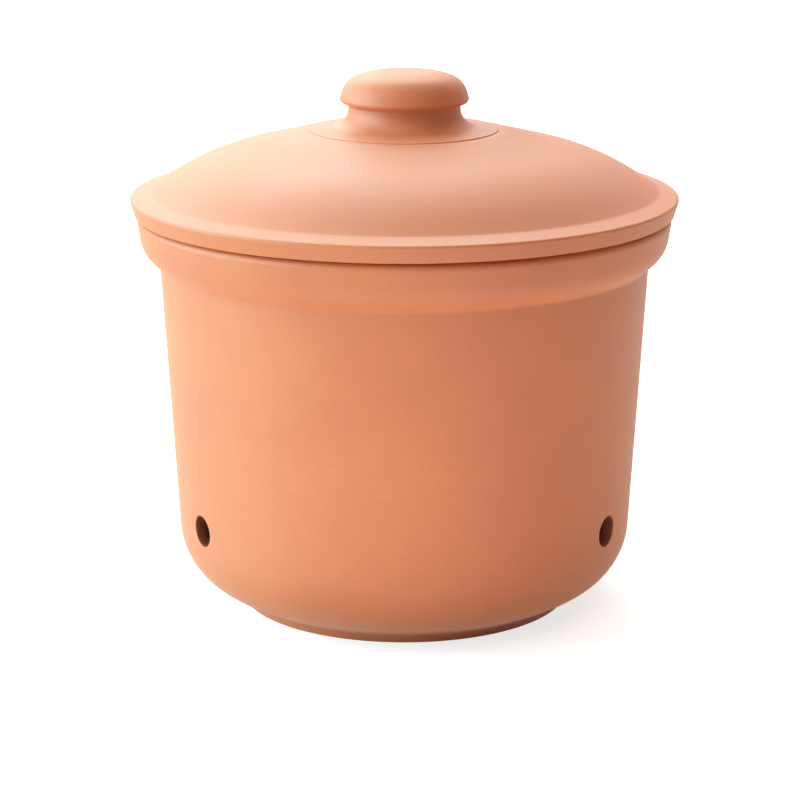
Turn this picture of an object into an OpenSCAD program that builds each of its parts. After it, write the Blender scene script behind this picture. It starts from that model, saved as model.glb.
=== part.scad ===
// Potato keeper of plain fired clay: a turned pot with air vents low in its wall, a domed lid
// that lifts off, and a hollow knob luted to the crown of the lid.
// Millimetres. +Z is up, the front faces -Y, and the origin is the middle of the foot, on the floor.

/* [Pot] */
// Height of the seat round the mouth above the floor
pot_h = 190; // [140:1:260]
// Outer diameter of the wall where the collar starts
pot_d = 233; // [200:1:280]
// Lean of the wall from the vertical, in degrees
wall_draft = 3.2; // [0:0.1:5]
// Thickness of the wall
wall_t = 6; // [5:0.5:9]
// Thickness of the floor over the hollow underside
floor_t = 9.5; // [7:0.5:14]
// Outer radius of the bend from the base into the wall
bend_r = 33; // [20:1:35]

/* [Foot] */
// Diameter of the foot on the floor
foot_d = 159; // [120:1:170]
// Height of the foot
foot_h = 4; // [3:0.5:8]
// How far the foot widens on each side from the floor up
foot_flare = 0.75; // [0:0.25:4]
// Width of the ring that the foot stands on
foot_w = 13; // [8:0.5:20]
// Depth of the hollow underside inside that ring
foot_hollow = 2; // [1:0.5:4]
// Radius of the crease between the foot and the base
foot_crease = 7; // [1:0.5:8]
// Rise of the base from the foot to the bend, in degrees
base_rise = 26; // [15:0.5:32]

/* [Collar] */
// Height of the collar below the seat
collar_h = 24; // [18:0.5:32]
// How far the collar stands out from the wall at the rim
collar_out = 10.75; // [8:0.25:13]
// Flare of the collar's underside from the vertical, in degrees
collar_flare = 51; // [40:1:60]
// Lean of the collar's side from the vertical, in degrees
collar_draft = 8.5; // [4:0.5:11]
// Radius of the roll between the collar's underside and its side
collar_roll = 15; // [6:0.5:18]
// Radius of the crease between the wall and the collar
collar_crease = 3; // [1:0.5:6]
// Width of the rim from the mouth to its outer edge
rim_w = 10; // [8:0.5:13]
// Radius of the rim's outer edge, which rolls in under the lid
rim_roll = 3; // [1.5:0.5:4]
// Width of the seat round the mouth that the lid rests on
seat_w = 4; // [3:0.5:5]
// How far the rim outside the seat lies below it
rim_drop = 0.9; // [0.7:0.1:2]

/* [Vents] */
// Number of vents, evenly spaced, with none at the front
vent_count = 3; // [2:1:8]
// Diameter of a vent
vent_d = 15; // [8:0.5:20]
// Height of the vents' centres above the floor
vent_z = 46.5; // [40:0.5:80]

/* [Lid] */
// Thickness of the dome
lid_t = 7; // [5:0.5:10]
// How far the lid's lower edge laps past the rim
lid_lap = 0.75; // [0:0.25:2]
// How far the brim's upper edge stands out past the rim
brim_out = 3; // [2:0.25:6]
// Height of the brim's edge
brim_h = 7.75; // [6:0.25:12]
// Width of the brim from its upper edge to the crease
brim_w = 9.75; // [8:0.25:16]
// Rise of the brim from its edge to the crease
brim_rise = 2.5; // [1:0.25:6]
// Radius of the brim's upper edge
brim_edge = 1.25; // [1:0.25:4]
// Radius of the crease between the brim and the dome
brim_crease = 7; // [3:0.5:12]
// Height of the crown above the rim
crown_h = 38.25; // [30:0.25:46]
// Width of flat crown left showing round the knob's foot
crown_rim = 2; // [0.25:0.25:6]
// Fall of the dome from the crown, in degrees
dome_fall = 14; // [8:0.5:18]
// Fall of the dome where it meets the brim, in degrees
brim_fall = 33.5; // [26:0.5:45]
// Radius of the bend from the one fall to the other
dome_r = 110; // [60:1:200]

/* [Locating ring] */
// Thickness of the ring under the lid that centres it in the mouth
ring_t = 6; // [5:0.5:9]
// Gap between the ring and the mouth on each side
ring_gap = 2; // [1:0.25:4]
// Gap under the ring, above the ledge inside the collar
ring_clear = 7.5; // [3:0.25:10]

/* [Knob] */
// Height of the knob above the crown
knob_h = 27.75; // [25:0.25:34]
// Diameter of the knob's foot
knob_foot_d = 89; // [76:0.5:96]
// Thickness of the foot at its edge
knob_foot_t = 0.5; // [0.5:0.25:3]
// Height at which the foot's slope runs into the neck
knob_flare_h = 2.5; // [2:0.25:6]
// Radius of the flare from the foot into the neck
knob_flare = 9; // [3:0.5:10]
// Diameter of the neck
neck_d = 53; // [44:0.5:56]
// Thickness of the clay in the neck, round the hollow
neck_t = 14.5; // [10:0.25:18]
// How far the lip of the head stands out from the neck
lip_out = 4.75; // [3:0.25:7]
// Height of the head's lip above the crown
lip_h = 12.5; // [11:0.25:15]
// How far the head's underside rises from the lip to the neck
lip_rise = 0.75; // [0:0.25:2]
// Radius of the lip
lip_r = 2; // [1:0.5:3]
// Radius of the crease between the neck and the head
lip_crease = 1.5; // [0.5:0.25:2]
// How far the shoulder is drawn in from the lip
shoulder_in = 3.25; // [1:0.25:5]
// Height of the shoulder below the top of the knob
shoulder_drop = 3.75; // [2.5:0.25:5]
// Radius of the shoulder
shoulder_r = 11.5; // [6:0.5:13]
// How far in from the shoulder its slope would meet the flat top
cap_in = 13; // [10:0.5:16]
// Radius that blends that slope into the top
cap_r = 36; // [10:1:50]
// Thickness of the clay over the hollow
hollow_cap = 12; // [8:0.5:14]
// Radius of the hollow's top corner
hollow_bend = 8; // [2:0.5:10]

/* [Finish] */
// Radius of the wiped edges of the mouth and the locating ring
edge_r = 1.5; // [0.5:0.25:2]
// Radius of the fine edges on the foot, the seat, the lid and the knob
fine_edge = 0.5; // [0.4:0.1:1]
// Colour of the fired clay
clay = "#d58762"; // [#d58762:terracotta, #b5654a:red, #e3b48f:buff]

/* [Hidden] */

// Facets of a full turn, and of a vent
turn_facets = 144;
vent_facets = 48;
// Largest gap between an arc of a profile and its chords
arc_sag = 0.05;

// Levels above the floor
base_z = foot_h;
floor_z = foot_hollow + floor_t;
collar_z = pot_h - collar_h;
crown_z = pot_h + crown_h;
crease_z = pot_h + brim_h + brim_rise;
knob_z = crown_z + knob_h;

// Radii from the axis
foot_r = foot_d / 2;
base_r = foot_r + foot_flare;
wall_r = pot_d / 2;
rim_r = wall_r + collar_out;
mouth_r = rim_r - rim_w;
seat_r = mouth_r + seat_w;
ring_r = mouth_r - ring_gap;
ring_in = ring_r - ring_t;
brim_r = rim_r + brim_out;
crease_r = brim_r - brim_w;
knob_foot_r = knob_foot_d / 2;
crown_r = knob_foot_r + crown_rim;
neck_r = neck_d / 2;
lip_end = neck_r + lip_out;
shoulder_end = lip_end - shoulder_in;
hollow_r = neck_r - neck_t;

// Angle from one vent to the next
vent_step = 360 / vent_count;

// Directions of the sloping sides, in degrees from the outward radius
wall_dir = 90 - wall_draft;
flare_dir = 90 - collar_flare;
side_dir = 90 - collar_draft;

// Unit vector along v
function unit(v) = v / norm(v);

// Point where two straight lines meet, each given by a point and its direction
function meet(p, p_dir, q, q_dir) =
    let (
        u = [cos(p_dir), sin(p_dir)],
        v = [cos(q_dir), sin(q_dir)]
    )
    p + u * cross(q - p, v) / cross(u, v);

// Point moved square to a direction, to the left of it by d
function aside(p, dir, d) = p + d * [-sin(dir), cos(dir)];

// Corner of a profile: a point with the radius that rounds it
function rounding(p, r) = [p.x, p.y, r];

// Point of a corner
function place(corner) = [corner.x, corner.y];

// Length of the side that starts at corner i
function side(path, i) = norm(place(path[i + 1]) - place(path[i]));

// Angle by which the path turns at corner i
function turning(path, i) =
    let (
        inward = unit(place(path[i]) - place(path[i - 1])),
        onward = unit(place(path[i + 1]) - place(path[i]))
    )
    atan2(cross(inward, onward), inward * onward);

// How far the arc at corner i would reach along its two sides
function reach(path, i) =
    i == 0 || i == len(path) - 1 || len(path[i]) < 3 ? 0 : path[i].z * tan(abs(turning(path, i)) / 2);

// The reach that the two sides have room for, where a neighbouring arc shares a side
function fitted_reach(path, i) =
    let (
        own = reach(path, i),
        before = side(path, i - 1) / (own + reach(path, i - 1)),
        after = side(path, i) / (own + reach(path, i + 1))
    )
    own * min(1, before, after);

// Points of the arc that rounds corner i
function arc_points(path, i) =
    let (
        p = place(path[i]),
        cut = fitted_reach(path, i),
        sweep = turning(path, i),
        r = cut / tan(abs(sweep) / 2),
        start = p + cut * unit(place(path[i - 1]) - p),
        inward = unit(p - start),
        centre = start + r * sign(sweep) * [-inward.y, inward.x],
        from = atan2(start.y - centre.y, start.x - centre.x),
        steps = ceil(abs(sweep) / (2 * acos(1 - min(arc_sag / r, 1))))
    )
    [for (k = [0 : steps]) centre + r * [cos(from + sweep * k / steps), sin(from + sweep * k / steps)]];

// Outline of a path of plain points and rounded corners
function outline(path) =
    [for (i = [0 : len(path) - 1]) each reach(path, i) == 0 ? [place(path[i])] : arc_points(path, i)];

// Solid turned about the Z axis from a path of radius and height
module turned(path) {
    rotate_extrude($fn = turn_facets)
        polygon(outline(path));
}

// Outside of the pot, from the foot up to the rim
collar_start = [wall_r, collar_z];
rim_corner = [rim_r, pot_h - rim_drop];
base_bend = meet([base_r, base_z], base_rise, collar_start, wall_dir);
collar_bulge = meet(collar_start, flare_dir, rim_corner, side_dir);

// Inside of the pot: the wall, the floor and the underside of the collar, each one wall in
inner_start = aside(collar_start, wall_dir, wall_t);
ledge_start = aside(collar_start, flare_dir, wall_t);
floor_bend = meet([0, floor_z], 0, inner_start, wall_dir);
ledge_low = meet(inner_start, wall_dir, ledge_start, flare_dir);
ledge_high = meet(ledge_start, flare_dir, [mouth_r, pot_h], 90);
ledge_roll = max(collar_roll - wall_t, fine_edge);

pot_path = [
    [0, foot_hollow],
    rounding([foot_r - foot_w, foot_hollow], fine_edge),
    rounding([foot_r - foot_w, 0], fine_edge),
    rounding([foot_r, 0], fine_edge),
    rounding([base_r, base_z], foot_crease),
    rounding(base_bend, bend_r),
    rounding(collar_start, collar_crease),
    rounding(collar_bulge, collar_roll),
    rounding(rim_corner, rim_roll),
    [seat_r, pot_h - rim_drop],
    rounding([seat_r, pot_h], fine_edge),
    rounding([mouth_r, pot_h], edge_r),
    rounding(ledge_high, ledge_roll),
    rounding(ledge_low, collar_crease + wall_t),
    rounding(floor_bend, bend_r - wall_t),
    [0, floor_z]
];

// Pot: foot, wall and collar in one turned shell, pierced by the vents
module pot() {
    color(clay)
        difference() {
            turned(pot_path);
            for (k = [0 : vent_count - 1])
                rotate([0, 0, (k + 0.5) * vent_step])
                    translate([0, 0, vent_z])
                        rotate([90, 0, 0])
                            cylinder(h = wall_r, d = vent_d, $fn = vent_facets);
        }
}

// Outside of the dome, from the crown down to the brim
dome_top = [crown_r, crown_z];
dome_foot = [crease_r, crease_z];
dome_bend = meet(dome_top, -dome_fall, dome_foot, -brim_fall);

// Inside of the dome, one thickness in
under_top = aside(dome_top, -dome_fall, -lid_t);
under_foot = aside(dome_foot, -brim_fall, -lid_t);
inner_crown_z = crown_z - lid_t;
inner_dome_top = meet([0, inner_crown_z], 0, under_top, -dome_fall);
inner_dome_bend = meet(under_top, -dome_fall, under_foot, -brim_fall);
inner_dome_foot = meet([ring_in, pot_h], 90, under_foot, -brim_fall);

// Lower end of the ring, clear of the ledge right under it
ring_z = meet(ledge_start, flare_dir, [ring_r, pot_h], 90).y + ring_clear;

lid_path = [
    [hollow_r, inner_crown_z],
    inner_dome_top,
    rounding(inner_dome_bend, dome_r - lid_t),
    rounding(inner_dome_foot, brim_crease),
    rounding([ring_in, ring_z], edge_r),
    rounding([ring_r, ring_z], edge_r),
    rounding([ring_r, pot_h], fine_edge),
    rounding([rim_r + lid_lap, pot_h], fine_edge),
    rounding([brim_r, pot_h + brim_h], brim_edge),
    rounding(dome_foot, brim_crease),
    rounding(dome_bend, dome_r),
    dome_top,
    [hollow_r, crown_z]
];

// Lid: brim that rests on the rim, ring that drops into the mouth, and the dome over them
module lid() {
    color(clay)
        turned(lid_path);
}

knob_path = [
    [0, knob_z - hollow_cap],
    rounding([hollow_r, knob_z - hollow_cap], hollow_bend),
    [hollow_r, crown_z],
    [knob_foot_r, crown_z],
    rounding([knob_foot_r, crown_z + knob_foot_t], fine_edge),
    rounding([neck_r, crown_z + knob_flare_h], knob_flare),
    rounding([neck_r, crown_z + lip_h + lip_rise], lip_crease),
    rounding([lip_end, crown_z + lip_h], lip_r),
    rounding([shoulder_end, knob_z - shoulder_drop], shoulder_r),
    rounding([shoulder_end - cap_in, knob_z], cap_r),
    [0, knob_z]
];

// Knob: flared foot, neck and rounded head, hollowed from below and open through the lid's crown
module knob() {
    color(clay)
        turned(knob_path);
}

pot();
lid();
knob();
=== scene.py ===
"""Looks of a potato keeper: a vented pot, a domed lid and its knob, turned in plain terracotta.

Laid out as an add-on and run as a script. Lengths are metres, +Z is up, and the front faces -Y.
"""

import math

import bmesh
import bpy
from bpy.props import FloatProperty, FloatVectorProperty, IntProperty, PointerProperty
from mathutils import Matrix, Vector


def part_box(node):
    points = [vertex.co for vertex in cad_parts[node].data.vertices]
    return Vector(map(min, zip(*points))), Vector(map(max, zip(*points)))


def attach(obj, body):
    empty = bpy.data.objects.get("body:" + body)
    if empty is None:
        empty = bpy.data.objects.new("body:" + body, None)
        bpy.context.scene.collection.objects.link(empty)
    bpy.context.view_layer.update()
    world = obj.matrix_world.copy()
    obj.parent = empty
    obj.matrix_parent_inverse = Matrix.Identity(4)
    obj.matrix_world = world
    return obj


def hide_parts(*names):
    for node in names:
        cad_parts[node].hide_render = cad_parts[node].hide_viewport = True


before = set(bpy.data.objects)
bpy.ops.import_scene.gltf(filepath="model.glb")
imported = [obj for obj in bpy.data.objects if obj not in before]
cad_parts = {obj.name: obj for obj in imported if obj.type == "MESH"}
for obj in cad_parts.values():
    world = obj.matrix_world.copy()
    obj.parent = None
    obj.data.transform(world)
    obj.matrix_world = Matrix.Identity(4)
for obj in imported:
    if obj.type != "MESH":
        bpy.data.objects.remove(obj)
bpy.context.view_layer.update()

bl_info = {
    "name": "Terracotta Potato Keeper",
    "version": (1, 0, 0),
    "blender": (4, 5, 0),
    "location": "View3D > Sidebar > Keeper",
    "description": "Turns a vented pot, a domed lid and a knob, and dresses them as fired clay",
    "category": "Add Mesh",
}

MM = 0.001
CLAY_NAME = "unglazed_terracotta"

# Longest step along a straight or gently curved stretch of an outline, and widest step round an arc
LINE_STEP = 4 * MM
ARC_STEP = math.radians(6)
# Points closer than this are one point
WELD = 0.001 * MM
# Steps round the axis: for the pot and the lid, where each vent's middle falls on one, and for the knob
POT_TURNS = 180
KNOB_TURNS = 144
# Edges that turn more sharply than this are left crisp
CRISP = math.radians(40)
# A piece may differ from the node that it stands for by this much
BOX_TOLERANCE = 0.5 * MM
# How far the wall is opened past a vent before its round edge is set in, the width of the band beside that
# edge, and the steps across the edge
VENT_MARGIN = 5 * MM
VENT_BAND = 2.2 * MM
VENT_EDGE_STEPS = 4

# Levels that the three pieces share
RIM_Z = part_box("pot")[1].z
RING_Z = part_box("lid")[0].z
CROWN_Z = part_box("knob")[0].z
TOP_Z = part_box("knob")[1].z
# Turn of the front from the X axis
FRONT = -math.pi / 2

# How much the grit and the turned rings lighten and darken the clay
SPECKLE = 0.04
RING_TONE = 0.01

# Backdrop: its size and how far it lies under the foot
FLOOR_SIZE = 8.0
FLOOR_DROP = 0.2 * MM
# Colour of the paper by which it lights the keeper, and the greyer one that the camera sees, with a glow
# added to it, so that the paper is white to the eye and its shadows stay light
PAPER = "#cccccc"
SEEN_PAPER = "#b4b4b4"
PAPER_GLOW = 0.74
# Tints of the lamps
COOL = "#c7f0ff"
PALE = "#dcfaff"
WARM = "#ffe8d8"
ROSE = "#fff0fa"
# Far soft lamps: turn from the front to the right, climb and spread in degrees, and tint
LAMPS = {
    "left": (-87, 12, 64, COOL),
    "back": (-160, 42, 50, PALE),
    "top": (0, 62, 50, WARM),
    "right": (150, 42, 50, WARM),
}
# How far off they hang, which doesn't change their light
LAMP_DISTANCE = 2.0
# Low card in front of the keeper: how far in front of the axis, its width, its depth and its height
CARD_AHEAD = 0.27
CARD_WIDTH = 0.42
CARD_DEPTH = 0.22
CARD_RISE = 4 * MM
# Width of the camera's sensor in millimetres
SENSOR = 36.0

# Sockets of a Mix node that mixes colours, by number because others there have the same names
MIX_SHARE = 0
MIX_FROM = 6
MIX_TO = 7
MIX_RESULT = 2


def linear(hex_colour):
    """The linear RGB of an sRGB hex colour."""
    shares = [int(hex_colour[n:n + 2], 16) / 255 for n in (1, 3, 5)]
    return tuple(c / 12.92 if c <= 0.04045 else ((c + 0.055) / 1.055) ** 2.4 for c in shares)


def length(name, description, millimetres):
    """A size in metres that a user may change, given in millimetres."""
    return FloatProperty(
        name=name, description=description, default=millimetres * MM, min=0.0, unit="LENGTH")


def angle(name, description, degrees):
    """An angle that a user may change, given in degrees."""
    return FloatProperty(
        name=name, description=description, default=math.radians(degrees), unit="ROTATION")


def strength(name, description, default):
    """The strength of a lamp, which a user may change."""
    return FloatProperty(name=name, description=description, default=default, min=0.0)


def colour(name, description, hex_colour):
    """A colour that a user may change, given as an sRGB hex value."""
    return FloatVectorProperty(
        name=name, description=description, default=linear(hex_colour), size=3, min=0.0, max=1.0,
        subtype="COLOR")


class PotSizes(bpy.types.PropertyGroup):
    """Sizes of the pot."""

    wall_d: length("Wall diameter", "Outer diameter of the wall where the collar starts", 233)
    wall_draft: angle("Wall draft", "Lean of the wall from the vertical", 3.2)
    wall_t: length("Wall thickness", "Thickness of the wall", 6)
    floor_t: length("Floor thickness", "Thickness of the floor over the hollow underside", 9.5)
    bend_r: length("Base bend", "Outer radius of the bend from the base into the wall", 33)
    foot_d: length("Foot diameter", "Diameter of the foot on the floor", 159)
    foot_h: length("Foot height", "Height of the foot", 4)
    foot_flare: length("Foot flare", "How far the foot widens on each side from the floor up", 0.75)
    foot_w: length("Foot width", "Width of the ring that the foot stands on", 13)
    foot_hollow: length("Foot hollow", "Depth of the hollow underside inside that ring", 2)
    foot_crease: length("Foot crease", "Radius between the foot and the base", 7)
    base_rise: angle("Base rise", "Rise of the base from the foot to the bend", 26)
    collar_h: length("Collar height", "Height of the collar below the seat", 24)
    collar_out: length("Collar overhang", "How far the collar stands out from the wall at the rim", 10.75)
    collar_flare: angle("Collar flare", "Flare of the collar's underside from the vertical", 51)
    collar_draft: angle("Collar draft", "Lean of the collar's side from the vertical", 8.5)
    collar_roll: length("Collar roll", "Radius between the collar's underside and its side", 15)
    collar_crease: length("Collar crease", "Radius between the wall and the collar", 3)
    rim_w: length("Rim width", "Width of the rim from the mouth to its outer edge", 10)
    rim_roll: length("Rim roll", "Radius of the rim's outer edge, which rolls in under the lid", 3)
    seat_w: length("Seat width", "Width of the seat round the mouth that the lid rests on", 4)
    rim_drop: length("Rim drop", "How far the rim outside the seat lies below it", 0.9)
    vent_count: IntProperty(
        name="Vents", description="Number of vents, with none at the front", default=3, min=2)
    vent_d: length("Vent diameter", "Diameter of a vent", 15)
    vent_z: length("Vent height", "Height of the vents' centres above the floor", 46.5)
    vent_edge: length("Vent edge", "Radius of a vent's wiped edge", 0.4)


class LidSizes(bpy.types.PropertyGroup):
    """Sizes of the lid."""

    lid_t: length("Thickness", "Thickness of the dome", 7)
    lid_lap: length("Lap", "How far the lower edge laps past the rim", 0.75)
    brim_out: length("Brim overhang", "How far the brim's upper edge stands out past the rim", 3)
    brim_h: length("Brim height", "Height of the brim's edge", 7.75)
    brim_w: length("Brim width", "Width of the brim from its upper edge to the crease", 9.75)
    brim_rise: length("Brim rise", "Rise of the brim from its edge to the crease", 2.5)
    brim_edge: length("Brim edge", "Radius of the brim's upper edge", 1.25)
    brim_crease: length("Brim crease", "Radius between the brim and the dome", 7)
    crown_d: length("Crown diameter", "Diameter of the flat crown that carries the knob", 93)
    dome_fall: angle("Dome fall", "Fall of the dome from the crown", 14)
    brim_fall: angle("Brim fall", "Fall of the dome where it meets the brim", 33.5)
    dome_r: length("Dome radius", "Radius of the bend from the one fall to the other", 110)
    ring_t: length("Ring thickness", "Thickness of the ring that centres the lid in the mouth", 6)
    ring_gap: length("Ring gap", "Gap between the ring and the mouth on each side", 2)


class KnobSizes(bpy.types.PropertyGroup):
    """Sizes of the knob."""

    foot_d: length("Foot diameter", "Diameter of the foot on the crown", 89)
    foot_t: length("Foot thickness", "Thickness of the foot at its edge", 0.5)
    flare_h: length("Flare height", "Height at which the foot's slope runs into the neck", 2.5)
    flare_r: length("Flare radius", "Radius of the flare from the foot into the neck", 9)
    neck_d: length("Neck diameter", "Diameter of the neck", 53)
    lip_out: length("Lip overhang", "How far the lip of the head stands out from the neck", 4.75)
    lip_h: length("Lip height", "Height of the lip above the crown", 12.5)
    lip_rise: length("Lip rise", "How far the head's underside rises from the lip to the neck", 0.75)
    lip_r: length("Lip radius", "Radius of the lip", 2)
    lip_crease: length("Lip crease", "Radius between the neck and the head", 1.5)
    shoulder_in: length("Shoulder inset", "How far the shoulder is drawn in from the lip", 3.25)
    shoulder_drop: length("Shoulder drop", "Height of the shoulder below the top", 3.75)
    shoulder_r: length("Shoulder radius", "Radius of the shoulder", 11.5)
    cap_in: length("Cap inset", "How far in from the shoulder its slope would meet the flat top", 13)
    cap_r: length("Cap radius", "Radius that blends that slope into the top", 36)
    hollow_d: length("Hollow diameter", "Diameter of the hollow, open through the crown of the lid", 24)
    hollow_cap: length("Hollow cap", "Thickness of the clay over the hollow", 12)
    hollow_bend: length("Hollow bend", "Radius of the hollow's top corner", 8)


class ClayFinish(bpy.types.PropertyGroup):
    """Finish of the fired clay."""

    edge_r: length("Wiped edge", "Radius of the wiped edges of the mouth and the ring", 1.5)
    fine_edge: length("Fine edge", "Radius of the fine edges on the foot, seat, lid and knob", 0.5)
    body: colour("Body", "Colour of the fired body", "#d47942")
    deep: colour("Deep", "Colour of the harder fired patches", "#cd703c")
    # Paler colour of sharp convex edges: partly rubbed wear, partly a painted highlight
    edge_wear_and_highlight: colour("Pale", "Colour of rubbed edges", "#dca07c")
    # Painted shade: a dark colour inside the vents that stands in for the shade there
    bore: colour("Bore", "Colour of the rough clay inside the vents", "#843f20")
    cloud: length("Cloud size", "Size of the soft patches of colour", 55)
    grit: length("Grit size", "Size of the grit in the clay", 0.9)
    turning: length("Turning step", "Spacing of the faint lines left by turning", 2.4)


class StageSetup(bpy.types.PropertyGroup):
    """Camera and lamps."""

    distance: length("Distance", "Distance of the camera in front of the axis", 1250)
    height: length("Height", "Height of the camera above the floor", 423.7)
    aside: length("Offset", "How far the camera stands to the left of the axis", 2.1)
    pitch: angle("Pitch", "How far the camera looks down", 14.69)
    lens: FloatProperty(
        name="Lens", description="Focal length on a 36 mm sensor", default=119.8, min=1.0, unit="CAMERA")
    left: strength("Left lamp", "Irradiance from the broad, low light on the left", 8.8)
    back: strength("Back lamp", "Irradiance from the light behind, which grazes the lid", 3.7)
    top: strength("Top lamp", "Irradiance from the light above the camera", 1.05)
    right: strength("Right lamp", "Irradiance from the rim light on the right", 1.15)
    card: strength("Front card", "Power of the low card in front, which lights the wall from below", 0.46)
    fill: strength("Fill", "Strength of the light from all round", 0.03)


def heading(turn):
    """Unit vector in the plane of an outline, turned up from the outward radius."""
    return Vector((math.cos(turn), math.sin(turn)))


def meet(p, p_turn, q, q_turn):
    """Point where two straight lines meet, each given by a point and its heading."""
    u, v = heading(p_turn), heading(q_turn)
    return p + u * ((q - p).cross(v) / u.cross(v))


def aside(p, turn, distance):
    """Point moved square to a heading, to the left of it."""
    return p + heading(turn + math.pi / 2) * distance


def corner(p, rounding=0.0):
    """Corner of an outline: its point as (radius, height), and the radius that rounds it."""
    return Vector(p), rounding


def turn_at(path, i):
    """Angle by which an outline turns at corner i."""
    inward = path[i][0] - path[i - 1][0]
    onward = path[i + 1][0] - path[i][0]
    return math.atan2(inward.cross(onward), inward.dot(onward))


def wanted_reach(path, i):
    """How far the arc at corner i would reach along its two sides."""
    inside = 0 < i < len(path) - 1
    return path[i][1] * math.tan(abs(turn_at(path, i)) / 2) if inside and path[i][1] else 0.0


def fitted_reach(path, i):
    """The reach that the two sides have room for, where a neighbouring arc shares a side."""
    own = wanted_reach(path, i)
    if not own:
        return 0.0
    sides = [(n, (path[n][0] - path[i][0]).length) for n in (i - 1, i + 1)]
    return own * min(1.0, *(side / (own + wanted_reach(path, n)) for n, side in sides))


def draw(bm, pen, steps, centre=(0.0, 0.0), sweep=0.0, run=(0.0, 0.0)):
    """Draws on from the vertex pen, along an arc or a straight run, and returns the vertex at its end."""
    drawn = bmesh.ops.spin(
        bm, geom=[pen], steps=steps, angle=sweep, axis=(0.0, -1.0, 0.0),
        cent=(centre[0], 0.0, centre[1]), dvec=(run[0] / steps, 0.0, run[1] / steps))
    return next(v for v in drawn["geom_last"] if isinstance(v, bmesh.types.BMVert))


def draw_outline(bm, path):
    """Draws a path of corners in the XZ plane, with its round corners as arcs."""
    at = path[0][0]
    pen = bm.verts.new((at.x, 0.0, at.y))
    for i in range(1, len(path)):
        here = path[i][0]
        reach = fitted_reach(path, i)
        inward = (here - path[i - 1][0]).normalized()
        run = here - inward * reach - at
        if run.length > WELD:
            pen = draw(bm, pen, math.ceil(run.length / LINE_STEP), run=run)
            at = at + run
        if reach:
            sweep = turn_at(path, i)
            radius = reach / math.tan(abs(sweep) / 2)
            centre = at + Vector((-inward.y, inward.x)) * math.copysign(radius, sweep)
            steps = math.ceil(max(abs(sweep) / ARC_STEP, radius * abs(sweep) / LINE_STEP))
            pen = draw(bm, pen, steps, centre=centre, sweep=sweep)
            at = Vector((pen.co.x, pen.co.z))


def measure_outline(bm):
    """Keeps on each vertex how far along the outline it lies, for the lines left by turning."""
    along = bm.verts.layers.float.new("along")
    bm.verts.ensure_lookup_table()
    for before, here in zip(bm.verts[:-1], bm.verts[1:]):
        here[along] = before[along] + (here.co - before.co).length


def turned(path, turns):
    """A closed solid turned about the Z axis from a path of corners."""
    bm = bmesh.new()
    draw_outline(bm, path)
    measure_outline(bm)
    bmesh.ops.spin(
        bm, geom=bm.verts[:] + bm.edges[:], cent=(0.0, 0.0, 0.0), axis=(0.0, 0.0, 1.0),
        angle=math.tau, steps=turns, use_merge=True)
    bmesh.ops.remove_doubles(bm, verts=bm.verts[:], dist=WELD)
    bmesh.ops.recalc_face_normals(bm, faces=bm.faces[:])
    return bm


def wall_line(pot):
    """Heading of the outside of the wall, and the point where it meets the collar."""
    return math.pi / 2 - pot.wall_draft, Vector((pot.wall_d / 2, RIM_Z - pot.collar_h))


def pot_path(pot, finish):
    """Outline of the pot: hollow underside, foot, base, wall, collar, and the inside down to the floor."""
    wall, start = wall_line(pot)
    flare = math.pi / 2 - pot.collar_flare
    side = math.pi / 2 - pot.collar_draft
    foot_r = pot.foot_d / 2
    base = Vector((foot_r + pot.foot_flare, pot.foot_h))
    rim = Vector((pot.wall_d / 2 + pot.collar_out, RIM_Z - pot.rim_drop))
    mouth = Vector((rim.x - pot.rim_w, RIM_Z))
    seat = Vector((mouth.x + pot.seat_w, RIM_Z))
    floor = Vector((0.0, pot.foot_hollow + pot.floor_t))
    inner = aside(start, wall, pot.wall_t)
    ledge = aside(start, flare, pot.wall_t)
    fine, wiped = finish.fine_edge, finish.edge_r
    return [
        corner((0.0, pot.foot_hollow)),
        corner((foot_r - pot.foot_w, pot.foot_hollow), fine),
        corner((foot_r - pot.foot_w, 0.0), fine),
        corner((foot_r, 0.0), fine),
        corner(base, pot.foot_crease),
        corner(meet(base, pot.base_rise, start, wall), pot.bend_r),
        corner(start, pot.collar_crease),
        corner(meet(start, flare, rim, side), pot.collar_roll),
        corner(rim, pot.rim_roll),
        corner((seat.x, rim.y)),
        corner(seat, fine),
        corner(mouth, wiped),
        corner(meet(ledge, flare, mouth, math.pi / 2), max(pot.collar_roll - pot.wall_t, fine)),
        corner(meet(inner, wall, ledge, flare), pot.collar_crease + pot.wall_t),
        corner(meet(floor, 0.0, inner, wall), pot.bend_r - pot.wall_t),
        corner(floor),
    ]


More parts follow.
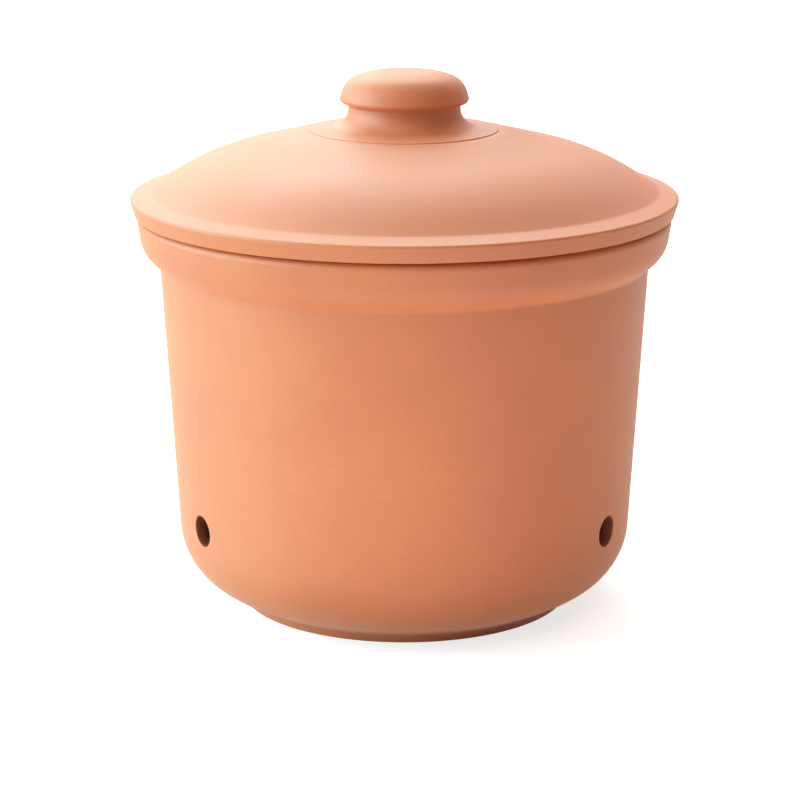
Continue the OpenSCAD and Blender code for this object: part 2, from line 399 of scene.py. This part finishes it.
def lid_path(lid, pot, knob, finish):
    """Outline of the lid, closed on itself round the hole in the crown."""
    rim_r = pot.wall_d / 2 + pot.collar_out
    ring_r = rim_r - pot.rim_w - lid.ring_gap
    ring_in = ring_r - lid.ring_t
    hole_r = knob.hollow_d / 2
    top = Vector((lid.crown_d / 2, CROWN_Z))
    edge = Vector((rim_r + lid.brim_out, RIM_Z + lid.brim_h))
    crease = edge + Vector((-lid.brim_w, lid.brim_rise))
    under_top = aside(top, -lid.dome_fall, -lid.lid_t)
    under_crease = aside(crease, -lid.brim_fall, -lid.lid_t)
    under_z = CROWN_Z - lid.lid_t
    fine, wiped = finish.fine_edge, finish.edge_r
    return [
        corner((hole_r, under_z)),
        corner(meet(Vector((0.0, under_z)), 0.0, under_top, -lid.dome_fall)),
        corner(meet(under_top, -lid.dome_fall, under_crease, -lid.brim_fall), lid.dome_r - lid.lid_t),
        corner(meet(Vector((ring_in, RIM_Z)), math.pi / 2, under_crease, -lid.brim_fall), lid.brim_crease),
        corner((ring_in, RING_Z), wiped),
        corner((ring_r, RING_Z), wiped),
        corner((ring_r, RIM_Z), fine),
        corner((rim_r + lid.lid_lap, RIM_Z), fine),
        corner(edge, lid.brim_edge),
        corner(crease, lid.brim_crease),
        corner(meet(top, -lid.dome_fall, crease, -lid.brim_fall), lid.dome_r),
        corner(top),
        corner((hole_r, CROWN_Z)),
        corner((hole_r, under_z)),
    ]


def knob_path(knob, finish):
    """Outline of the knob: its hollow, flared foot, neck and rounded head."""
    hollow_r = knob.hollow_d / 2
    foot_r = knob.foot_d / 2
    neck_r = knob.neck_d / 2
    lip_r = neck_r + knob.lip_out
    shoulder_r = lip_r - knob.shoulder_in
    fine = finish.fine_edge
    return [
        corner((0.0, TOP_Z - knob.hollow_cap)),
        corner((hollow_r, TOP_Z - knob.hollow_cap), knob.hollow_bend),
        corner((hollow_r, CROWN_Z)),
        corner((foot_r, CROWN_Z)),
        corner((foot_r, CROWN_Z + knob.foot_t), fine),
        corner((neck_r, CROWN_Z + knob.flare_h), knob.flare_r),
        corner((neck_r, CROWN_Z + knob.lip_h + knob.lip_rise), knob.lip_crease),
        corner((lip_r, CROWN_Z + knob.lip_h), knob.lip_r),
        corner((shoulder_r, TOP_Z - knob.shoulder_drop), knob.shoulder_r),
        corner((shoulder_r - knob.cap_in, TOP_Z), knob.cap_r),
        corner((0.0, TOP_Z)),
    ]


def set_in_ring(bm, edges, out, across, pot, ring_r, depth):
    """Extrudes the edges of a hole in the wall to a circle round a vent, on the wall's face at a depth."""
    along = bm.verts.layers.float["along"]
    wall, start = wall_line(pot)
    # The outline runs up the outer face of the wall and down the inner one
    climb = (-1 if depth else 1) / math.sin(wall)
    made = bmesh.ops.extrude_edge_only(bm, edges=edges)["geom"]
    for vert in (v for v in made if isinstance(v, bmesh.types.BMVert)):
        flat = Vector((vert.co.dot(across), vert.co.z - pot.vent_z)).normalized() * ring_r
        height = pot.vent_z + flat.y
        wall_r = start.x - (start.y - height) / math.tan(wall) - depth / math.sin(wall)
        vert[along] += (height - vert.co.z) * climb
        vert.co = out * math.sqrt(wall_r**2 - flat.x**2) + across * flat.x + Vector((0.0, 0.0, height))
    return [e for e in made if isinstance(e, bmesh.types.BMEdge) and e.is_boundary]


def mark_painted_bore_shade(bm, out, across, pot):
    """Marks the vertices inside a vent, past its wiped edge, for the painted shade there."""
    bore = bm.verts.layers.float["bore"]
    inside = pot.vent_d / 2 + pot.vent_edge / VENT_EDGE_STEPS
    for vert in bm.verts:
        flat = Vector((vert.co.dot(across), vert.co.z - pot.vent_z))
        if vert.co.dot(out) > 0.0 and flat.length < inside:
            vert[bore] = 1.0


def pierce_vent(bm, pot, azimuth):
    """Opens one vent: a round edge in the outer and the inner face of the wall, joined by a bore."""
    out = Vector((math.cos(azimuth), math.sin(azimuth), 0.0))
    across = Vector((-out.y, out.x, 0.0))
    vent_r = pot.vent_d / 2
    reach = vent_r + VENT_MARGIN
    edges = []
    for facing, depth in ((1.0, 0.0), (-1.0, pot.wall_t)):
        window = []
        for face in bm.faces:
            middle = face.calc_center_median()
            near = abs(middle.dot(across)) < reach and abs(middle.z - pot.vent_z) < reach
            if near and middle.dot(out) > 0.0 and face.normal.dot(out) * facing > 0.0:
                window.append(face)
        bmesh.ops.delete(bm, geom=window, context="FACES")
        hole = [e for e in bm.edges if e.is_boundary and e not in edges]
        hole = set_in_ring(bm, hole, out, across, pot, vent_r + VENT_BAND, depth)
        edges += set_in_ring(bm, hole, out, across, pot, vent_r, depth)
    bmesh.ops.bridge_loops(bm, edges=edges)
    bmesh.ops.bevel(
        bm, geom=edges, offset=pot.vent_edge, offset_type="OFFSET", segments=VENT_EDGE_STEPS, profile=0.5,
        affect="EDGES", material=-1)
    mark_painted_bore_shade(bm, out, across, pot)


def add_node(tree, kind, inputs=None, **settings):
    """Adds a node with its settings, and fills its inputs with values or with other nodes' outputs."""
    node = tree.nodes.new(kind)
    for name, value in settings.items():
        setattr(node, name, value)
    for key, value in (inputs or {}).items():
        if isinstance(value, bpy.types.NodeSocket):
            tree.links.new(value, node.inputs[key])
        else:
            node.inputs[key].default_value = value
    return node


def terracotta(finish):
    """Terracotta, turned, sponged smooth and fired unglazed: matt and warm, a little chalky where light
    grazes it, with soft clouds of colour from the kiln, faint rings from turning, fine grit, edges paler
    partly from rubbing and partly from a painted highlight, and painted shade inside the vents."""
    found = bpy.data.materials.get(CLAY_NAME)
    if found:
        return found
    material = bpy.data.materials.new(CLAY_NAME)
    material.use_nodes = True
    tree = material.node_tree
    tree.nodes.clear()
    place = add_node(tree, "ShaderNodeTexCoord").outputs["Object"]
    along = add_node(tree, "ShaderNodeAttribute", attribute_name="along").outputs["Fac"]

    # Soft clouds of harder and softer fired clay
    clouds = add_node(tree, "ShaderNodeTexNoise", {
        "Vector": place, "Scale": 1 / finish.cloud, "Detail": 3.0, "Roughness": 0.55})
    firing = add_node(tree, "ShaderNodeMapRange", {
        "Value": clouds.outputs["Fac"], "From Min": 0.32, "From Max": 0.68})
    body = add_node(tree, "ShaderNodeMix", {
        MIX_SHARE: firing.outputs[0], MIX_FROM: (*finish.deep, 1.0), MIX_TO: (*finish.body, 1.0)},
        data_type="RGBA")

    # Faint rings from turning, of uneven strength
    rings = add_node(tree, "ShaderNodeTexNoise", {
        "W": along, "Scale": 1 / finish.turning, "Detail": 2.0, "Roughness": 0.6}, noise_dimensions="1D")

    # Grit, drawn a little coarser than it is so that it still shows
    grit = add_node(tree, "ShaderNodeTexNoise", {
        "Vector": place, "Scale": 1 / finish.grit, "Detail": 2.0, "Roughness": 0.6})
    speckle = add_node(tree, "ShaderNodeMapRange", {
        "Value": grit.outputs["Fac"], "From Min": 0.3, "From Max": 0.7,
        "To Min": 1 - SPECKLE, "To Max": 1 + SPECKLE})
    grain = add_node(tree, "ShaderNodeMapRange", {
        "Value": rings.outputs["Fac"], "From Min": 0.3, "From Max": 0.7,
        "To Min": 1 - RING_TONE, "To Max": 1 + RING_TONE})
    shade = add_node(tree, "ShaderNodeMath", {
        0: speckle.outputs[0], 1: grain.outputs[0]}, operation="MULTIPLY")
    mottled = add_node(tree, "ShaderNodeMix", {
        MIX_SHARE: 1.0, MIX_FROM: body.outputs[MIX_RESULT], MIX_TO: shade.outputs[0]},
        data_type="RGBA", blend_type="MULTIPLY")

    # Edges made paler on their sharp convex turns: partly rubbed wear, partly a painted highlight
    point = add_node(tree, "ShaderNodeNewGeometry").outputs["Pointiness"]
    edge_wear_and_highlight_share = add_node(tree, "ShaderNodeMapRange", {
        "Value": point, "From Min": 0.52, "From Max": 0.62, "To Max": 0.5})
    skin = add_node(tree, "ShaderNodeMix", {
        MIX_SHARE: edge_wear_and_highlight_share.outputs[0], MIX_FROM: mottled.outputs[MIX_RESULT], MIX_TO: (*finish.edge_wear_and_highlight, 1.0)},
        data_type="RGBA")

    # Painted shade: the clay inside the vents is darkened to stand in for the shade in those holes
    bore = add_node(tree, "ShaderNodeAttribute", attribute_name="bore").outputs["Fac"]
    clay = add_node(tree, "ShaderNodeMix", {
        MIX_SHARE: bore, MIX_FROM: skin.outputs[MIX_RESULT], MIX_TO: (*finish.bore, 1.0)},
        data_type="RGBA")

    rough = add_node(tree, "ShaderNodeMapRange", {
        "Value": clouds.outputs["Fac"], "From Min": 0.3, "From Max": 0.7, "To Min": 0.56, "To Max": 0.64})
    lines = add_node(tree, "ShaderNodeBump", {
        "Height": rings.outputs["Fac"], "Strength": 0.1, "Distance": 0.1 * MM})
    relief = add_node(tree, "ShaderNodeBump", {
        "Height": grit.outputs["Fac"], "Strength": 0.2, "Distance": 0.12 * MM, "Normal": lines.outputs[0]})
    shader = add_node(tree, "ShaderNodeBsdfPrincipled", {
        "Base Color": clay.outputs[MIX_RESULT], "Roughness": rough.outputs[0], "Normal": relief.outputs[0],
        "IOR": 1.5, "Specular IOR Level": 0.7, "Diffuse Roughness": 0.6,
        "Sheen Weight": 0.05, "Sheen Roughness": 0.5, "Sheen Tint": (1.0, 0.9, 0.8, 1.0)})
    add_node(tree, "ShaderNodeOutputMaterial", {"Surface": shader.outputs[0]})
    return material


def add_piece(bm, name, node, body, finish):
    """Makes a solid of clay the piece that stands for a node, and lets it ride on a body."""
    for face in bm.faces:
        face.smooth = True
    for edge in bm.edges:
        edge.smooth = edge.calc_face_angle(math.pi) < CRISP
    mesh = bpy.data.meshes.new(name)
    bm.to_mesh(mesh)
    bm.free()
    mesh.materials.append(terracotta(finish))
    piece = bpy.data.objects.new(name, mesh)
    bpy.context.scene.collection.objects.link(piece)
    ends = zip(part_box(node), (Vector(piece.bound_box[0]), Vector(piece.bound_box[6])))
    if any((made - meant).length > BOX_TOLERANCE for meant, made in ends):
        raise RuntimeError(f"{name} isn't the size of the node {node}")
    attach(piece, body)
    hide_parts(node)


class KEEPER_OT_add_pot(bpy.types.Operator):
    """Turns the pot and pierces its vents"""

    bl_idname = "keeper.add_pot"
    bl_label = "Add Pot"

    def execute(self, context):
        pot, finish = context.scene.keeper_pot, context.scene.keeper_clay
        bm = turned(pot_path(pot, finish), POT_TURNS)
        # Layer that marks the vertices inside the vents for their painted shade
        bm.verts.layers.float.new("bore")
        for k in range(pot.vent_count):
            pierce_vent(bm, pot, FRONT + (k + 0.5) * math.tau / pot.vent_count)
        add_piece(bm, "clay_pot", "pot", "pot", finish)
        return {"FINISHED"}


class KEEPER_OT_add_lid(bpy.types.Operator):
    """Turns the lid"""

    bl_idname = "keeper.add_lid"
    bl_label = "Add Lid"

    def execute(self, context):
        scene = context.scene
        path = lid_path(scene.keeper_lid, scene.keeper_pot, scene.keeper_knob, scene.keeper_clay)
        add_piece(turned(path, POT_TURNS), "clay_lid", "lid", "lid", scene.keeper_clay)
        return {"FINISHED"}


class KEEPER_OT_add_knob(bpy.types.Operator):
    """Turns the knob of the lid"""

    bl_idname = "keeper.add_knob"
    bl_label = "Add Knob"

    def execute(self, context):
        knob, finish = context.scene.keeper_knob, context.scene.keeper_clay
        add_piece(turned(knob_path(knob, finish), KNOB_TURNS), "clay_knob", "knob", "lid", finish)
        return {"FINISHED"}


def seen_directly(tree):
    """1 on rays that show the backdrop to the camera, straight or by gloss or glass, and 0 on the rest."""
    path = add_node(tree, "ShaderNodeLightPath").outputs
    gloss = add_node(tree, "ShaderNodeMath", {
        0: path["Is Camera Ray"], 1: path["Is Glossy Ray"]}, operation="MAXIMUM")
    glass = add_node(tree, "ShaderNodeMath", {
        0: gloss.outputs[0], 1: path["Is Transmission Ray"]}, operation="MAXIMUM")
    return glass.outputs[0]


def paper():
    """White backdrop paper, uncoated: flat and even, white to the eye, and grey only in a shadow."""
    material = bpy.data.materials.new("white_backdrop_paper")
    material.use_nodes = True
    tree = material.node_tree
    tree.nodes.clear()
    seen = seen_directly(tree)
    tone = add_node(tree, "ShaderNodeMix", {
        MIX_SHARE: seen, MIX_FROM: (*linear(PAPER), 1.0), MIX_TO: (*linear(SEEN_PAPER), 1.0)},
        data_type="RGBA")
    glow = add_node(tree, "ShaderNodeMath", {0: seen, 1: PAPER_GLOW}, operation="MULTIPLY")
    matt = add_node(tree, "ShaderNodeBsdfDiffuse", {"Color": tone.outputs[MIX_RESULT]})
    light = add_node(tree, "ShaderNodeEmission", {"Strength": glow.outputs[0]})
    both = add_node(tree, "ShaderNodeAddShader", {0: matt.outputs[0], 1: light.outputs[0]})
    add_node(tree, "ShaderNodeOutputMaterial", {"Surface": both.outputs[0]})
    return material


class KEEPER_OT_set_stage(bpy.types.Operator):
    """Lays the backdrop paper, hangs the lamps and sets the camera"""

    bl_idname = "keeper.set_stage"
    bl_label = "Set Stage"

    def execute(self, context):
        scene, stage = context.scene, context.scene.keeper_stage
        self.lay_floor(scene)
        self.light_world(scene, stage)
        for name, (turn, climb, spread, tint) in LAMPS.items():
            self.hang_lamp(scene, name, getattr(stage, name), turn, climb, spread, tint)
        self.lay_card(scene, stage)
        self.set_camera(scene, stage)
        scene.view_settings.view_transform = "Standard"
        return {"FINISHED"}

    @staticmethod
    def lay_floor(scene):
        """A wide sheet of paper just under the foot."""
        bm = bmesh.new()
        bmesh.ops.create_grid(bm, x_segments=1, y_segments=1, size=FLOOR_SIZE / 2)
        bmesh.ops.translate(bm, verts=bm.verts[:], vec=(0.0, 0.0, -FLOOR_DROP))
        mesh = bpy.data.meshes.new("backdrop_paper")
        bm.to_mesh(mesh)
        bm.free()
        mesh.materials.append(paper())
        floor = bpy.data.objects.new("backdrop_paper", mesh)
        scene.collection.objects.link(floor)

    @staticmethod
    def light_world(scene, stage):
        """A white room to the eye, which lights the keeper softly from all round."""
        world = bpy.data.worlds.new("white_room")
        world.use_nodes = True
        tree = world.node_tree
        tree.nodes.clear()
        glow = add_node(tree, "ShaderNodeMapRange", {"Value": seen_directly(tree), "To Min": stage.fill})
        room = add_node(tree, "ShaderNodeBackground", {
            "Color": (1.0, 1.0, 1.0, 1.0), "Strength": glow.outputs[0]})
        add_node(tree, "ShaderNodeOutputWorld", {"Surface": room.outputs[0]})
        scene.world = world

    @staticmethod
    def hang_lamp(scene, name, irradiance, turn, climb, spread, tint):
        """A far, soft lamp, placed by its turn from the front to the right and its climb, in degrees."""
        lamp = bpy.data.lights.new(name, "SUN")
        lamp.energy = irradiance
        lamp.color = linear(tint)
        lamp.angle = math.radians(spread)
        hung = bpy.data.objects.new(name, lamp)
        turn, climb = math.radians(turn), math.radians(climb)
        level = Vector((math.sin(turn), -math.cos(turn), 0.0))
        towards = level * math.cos(climb) + Vector((0.0, 0.0, math.sin(climb)))
        hung.location = towards * LAMP_DISTANCE
        hung.rotation_euler = towards.to_track_quat("Z", "Y").to_euler()
        scene.collection.objects.link(hung)

    @staticmethod
    def lay_card(scene, stage):
        """A bright card that lies on the paper, out of the camera's sight."""
        lamp = bpy.data.lights.new("card", "AREA")
        lamp.shape = "RECTANGLE"
        lamp.size, lamp.size_y = CARD_WIDTH, CARD_DEPTH
        lamp.energy = stage.card
        lamp.color = linear(ROSE)
        card = bpy.data.objects.new("card", lamp)
        card.location = (0.0, -CARD_AHEAD, CARD_RISE)
        card.rotation_euler = (math.pi, 0.0, 0.0)
        card.visible_camera = False
        scene.collection.objects.link(card)

    @staticmethod
    def set_camera(scene, stage):
        """The camera at the height, distance and tilt of the reference view."""
        data = bpy.data.cameras.new("camera")
        data.sensor_width = SENSOR
        data.lens = stage.lens
        camera = bpy.data.objects.new("camera", data)
        camera.location = (-stage.aside, -stage.distance, stage.height)
        camera.rotation_euler = (math.pi / 2 - stage.pitch, 0.0, 0.0)
        scene.collection.objects.link(camera)
        scene.camera = camera


class KEEPER_PT_build(bpy.types.Panel):
    """Sizes, finish and steps of the keeper"""

    bl_idname = "KEEPER_PT_build"
    bl_label = "Potato Keeper"
    bl_space_type = "VIEW_3D"
    bl_region_type = "UI"
    bl_category = "Keeper"

    def draw(self, context):
        for group, operator in STEPS:
            box = self.layout.box()
            sizes = getattr(context.scene, group)
            for name in sizes.bl_rna.properties.keys():
                if name not in ("rna_type", "name"):
                    box.prop(sizes, name)
            if operator:
                box.operator(operator)


GROUPS = {
    "keeper_clay": ClayFinish,
    "keeper_pot": PotSizes,
    "keeper_lid": LidSizes,
    "keeper_knob": KnobSizes,
    "keeper_stage": StageSetup,
}
STEPS = (
    ("keeper_clay", None),
    ("keeper_pot", KEEPER_OT_add_pot.bl_idname),
    ("keeper_lid", KEEPER_OT_add_lid.bl_idname),
    ("keeper_knob", KEEPER_OT_add_knob.bl_idname),
    ("keeper_stage", KEEPER_OT_set_stage.bl_idname),
)
CLASSES = (
    *GROUPS.values(),
    KEEPER_OT_add_pot,
    KEEPER_OT_add_lid,
    KEEPER_OT_add_knob,
    KEEPER_OT_set_stage,
    KEEPER_PT_build,
)


def register():
    for cls in CLASSES:
        bpy.utils.register_class(cls)
    for name, group in GROUPS.items():
        setattr(bpy.types.Scene, name, PointerProperty(type=group))


def unregister():
    for name in GROUPS:
        delattr(bpy.types.Scene, name)
    for cls in reversed(CLASSES):
        bpy.utils.unregister_class(cls)


def main():
    register()
    bpy.ops.keeper.add_pot()
    bpy.ops.keeper.add_lid()
    bpy.ops.keeper.add_knob()
    bpy.ops.keeper.set_stage()


if __name__ == "__main__":
    main()
